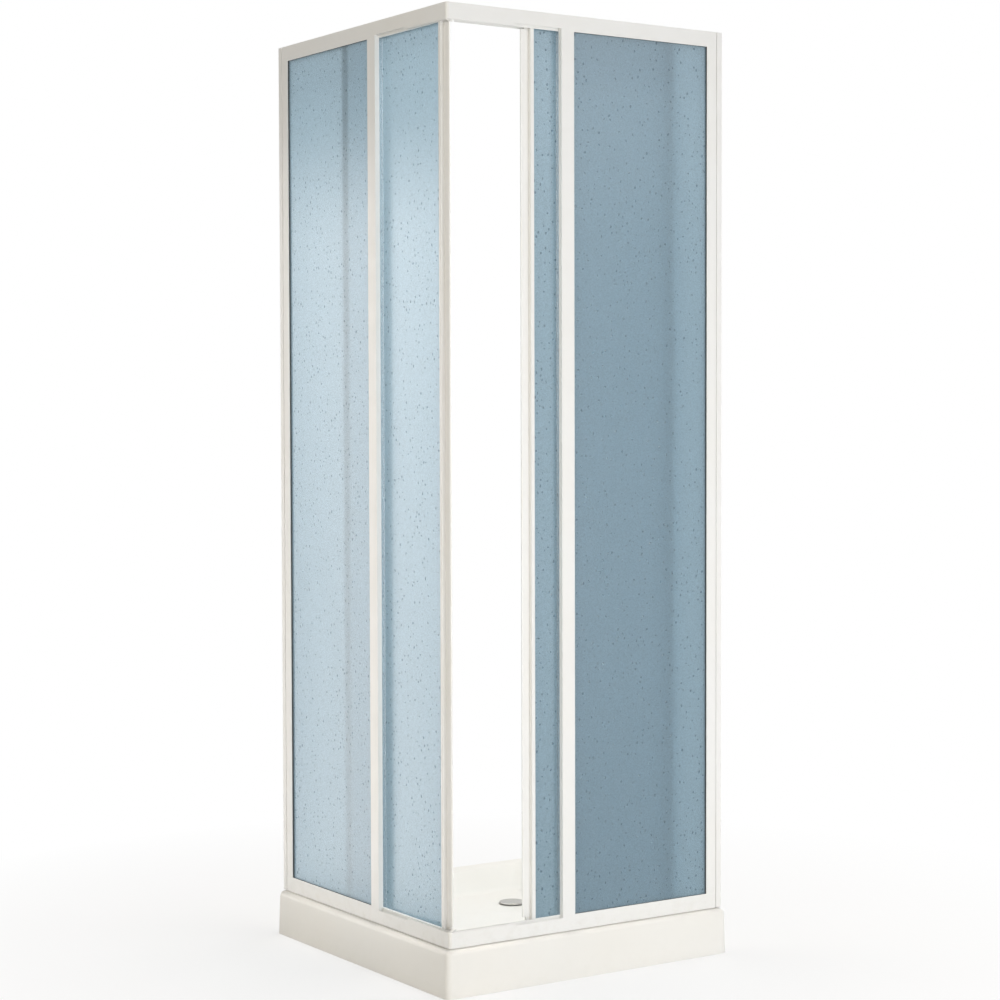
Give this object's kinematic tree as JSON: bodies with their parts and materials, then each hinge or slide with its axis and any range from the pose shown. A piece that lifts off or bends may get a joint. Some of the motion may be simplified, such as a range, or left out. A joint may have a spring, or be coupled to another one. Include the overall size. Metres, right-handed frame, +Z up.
{
  "type": "corner shower enclosure",
  "caption": "Square corner shower enclosure: white framed fixed and sliding patterned sheets on a low tray.",
  "frame": {"origin": "under the middle of the tray, on the floor", "axes": "+Z up; the walls stand at the +X and +Y ends of the frame, and the open front corner points to -X -Y"},
  "size_m": [0.708, 0.708, 1.9465],
  "materials": {
    "tray": "glossy white glaze",
    "white_profile": "smooth white powder coat",
    "patterned_sheet": "clear blue tinted, raindrop pattern",
    "white_plastic": "satin moulded",
    "roller_plastic": "smooth turned",
    "grey_plastic": "satin moulded",
    "pale_seal": "soft satin",
    "clear_seal": "clear soft lip",
    "dark_rubber": "matt",
    "grey_rubber": "matt",
    "steel": "plain zinc bright",
    "chrome": "polished"
  },
  "bodies": {
    "enclosure": {"shower_tray": "tray", "drain_flange": "chrome", "drain_gasket": "dark_rubber", "drain_washer": "dark_rubber", "drain_nut": "grey_plastic", "sill_seal": "grey_rubber", "header_corner": "white_plastic", "sill_corner": "white_plastic", "corner_screws": "steel", "post_screws": "steel", "channel_screws": "steel", "screw_caps": "white_plastic", "left_wall_channel": "white_profile", "left_side_post": "white_profile", "left_header": "white_profile", "left_sill": "white_profile", "left_middle_stile": "white_profile", "left_jamb_stile": "white_profile", "left_fixed_panel": "patterned_sheet", "left_glazing_gasket": "dark_rubber", "left_wiper_seal": "clear_seal", "left_door_stops": "dark_rubber", "right_wall_channel": "white_profile", "right_side_post": "white_profile", "right_header": "white_profile", "right_sill": "white_profile", "right_middle_stile": "white_profile", "right_jamb_stile": "white_profile", "right_fixed_panel": "patterned_sheet", "right_glazing_gasket": "dark_rubber", "right_wiper_seal": "clear_seal", "right_door_stops": "dark_rubber"},
    "left_door": {"left_door_panel": "patterned_sheet", "left_leading_stile": "white_profile", "left_trailing_stile": "white_profile", "left_door_top_rail": "white_profile", "left_door_bottom_rail": "white_profile", "left_magnetic_seal": "pale_seal", "left_stile_caps": "white_plastic", "left_hangers": "steel", "left_axles": "steel", "left_guide_shoes": "white_plastic", "left_door_screws": "steel"},
    "left_front_rollers": {"left_front_rollers": "roller_plastic"},
    "left_rear_rollers": {"left_rear_rollers": "roller_plastic"},
    "right_door": {"right_door_panel": "patterned_sheet", "right_leading_stile": "white_profile", "right_trailing_stile": "white_profile", "right_door_top_rail": "white_profile", "right_door_bottom_rail": "white_profile", "right_magnetic_seal": "pale_seal", "right_stile_caps": "white_plastic", "right_hangers": "steel", "right_axles": "steel", "right_guide_shoes": "white_plastic", "right_door_screws": "steel"},
    "right_front_rollers": {"right_front_rollers": "roller_plastic"},
    "right_rear_rollers": {"right_rear_rollers": "roller_plastic"},
    "drain_cover": {"drain_cover": "chrome"}
  },
  "joints": [
    {"name": "left_door_slide", "type": "slide", "parent": "enclosure", "child": "left_door", "axis": [0, 1, 0], "range_m": [0, 0.215]},
    {"name": "left_front_roller_spin", "type": "hinge", "parent": "left_door", "child": "left_front_rollers", "pos_m": [-0.3182, -0.2548, 1.9372], "axis": [-1, 0, 0], "continuous": true},
    {"name": "left_rear_roller_spin", "type": "hinge", "parent": "left_door", "child": "left_rear_rollers", "pos_m": [-0.3182, 0.0237, 1.9372], "axis": [-1, 0, 0], "continuous": true},
    {"name": "right_door_slide", "type": "slide", "parent": "enclosure", "child": "right_door", "axis": [1, 0, 0], "range_m": [-0.164, 0.051]},
    {"name": "right_front_roller_spin", "type": "hinge", "parent": "right_door", "child": "right_front_rollers", "pos_m": [-0.0908, -0.3182, 1.9372], "axis": [0, 1, 0], "continuous": true},
    {"name": "right_rear_roller_spin", "type": "hinge", "parent": "right_door", "child": "right_rear_rollers", "pos_m": [0.1877, -0.3182, 1.9372], "axis": [0, 1, 0], "continuous": true},
    {"name": "drain_cover_lift", "type": "slide", "parent": "enclosure", "child": "drain_cover", "axis": [0, 0, 1], "range_m": [0, 0.05]}
  ],
  "couplings": [
    {"joint": "left_front_roller_spin", "follows": "left_door_slide", "rad_per_m": 153.85},
    {"joint": "left_rear_roller_spin", "follows": "left_door_slide", "rad_per_m": 153.85},
    {"joint": "right_front_roller_spin", "follows": "right_door_slide", "rad_per_m": 153.85},
    {"joint": "right_rear_roller_spin", "follows": "right_door_slide", "rad_per_m": 153.85}
  ]
}
